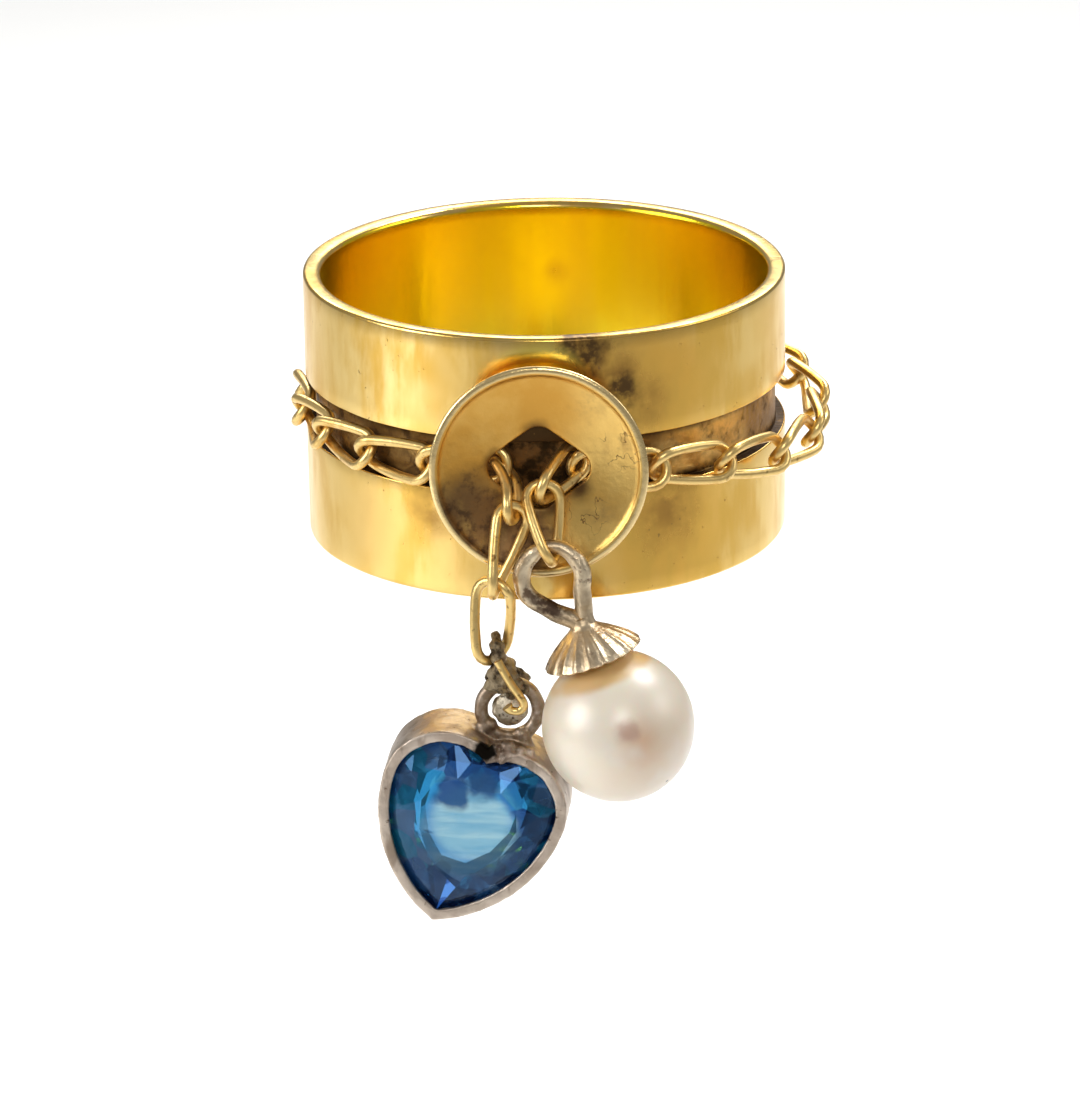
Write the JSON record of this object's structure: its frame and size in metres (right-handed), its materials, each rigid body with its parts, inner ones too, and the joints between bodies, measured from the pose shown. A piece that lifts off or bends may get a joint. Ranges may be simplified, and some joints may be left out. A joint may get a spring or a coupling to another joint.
{
  "type": "pearl ring",
  "caption": "Wide gold band ring with a chain in a channel, a concave dish on the front, and a pearl and a heart cut blue stone hanging from the chain's ends",
  "frame": {"origin": "middle of the finger hole", "axes": "+Z along the finger, the dish on the front faces -Y, the two drops hang towards -Z"},
  "size_m": [0.0219, 0.0258, 0.0233],
  "materials": {
    "band_gold": "polished",
    "chain_gold": "polished",
    "old_solder": "rough",
    "cap_metal": "satin",
    "pearl": "gloss",
    "setting_metal": "satin",
    "blue_stone": "gloss"
  },
  "bodies": {
    "ring": {"ring_band": "band_gold", "link_01": "chain_gold", "link_02": "chain_gold", "link_03": "chain_gold", "link_04": "chain_gold", "link_05": "chain_gold", "link_06": "chain_gold", "link_07": "chain_gold", "link_08": "chain_gold", "link_09": "chain_gold", "link_10": "chain_gold", "link_11": "chain_gold", "link_12": "chain_gold", "link_13": "chain_gold", "link_14": "chain_gold", "link_15": "chain_gold", "link_16": "chain_gold", "link_17": "chain_gold", "link_18": "chain_gold", "link_left": "chain_gold", "link_right": "chain_gold", "hook_left": "chain_gold", "hook_right": "chain_gold", "link_pearl": "chain_gold", "link_heart_upper": "chain_gold", "link_heart_lower": "chain_gold", "heart_jump": "old_solder"},
    "pearl_drop": {"pearl_cap": "cap_metal", "pearl": "pearl"},
    "heart_drop": {"heart_setting": "setting_metal", "heart_stone": "blue_stone"}
  },
  "joints": [
    {"name": "pearl_swing", "type": "hinge", "parent": "ring", "child": "pearl_drop", "pos_m": [0.00051, -0.01203, -0.00297], "axis": [0, -1, 0], "range_deg": [0, 50]},
    {"name": "heart_swing", "type": "hinge", "parent": "ring", "child": "heart_drop", "pos_m": [-0.00125, -0.01135, -0.00936], "axis": [0, 1, 0], "range_deg": [0, 50]}
  ]
}
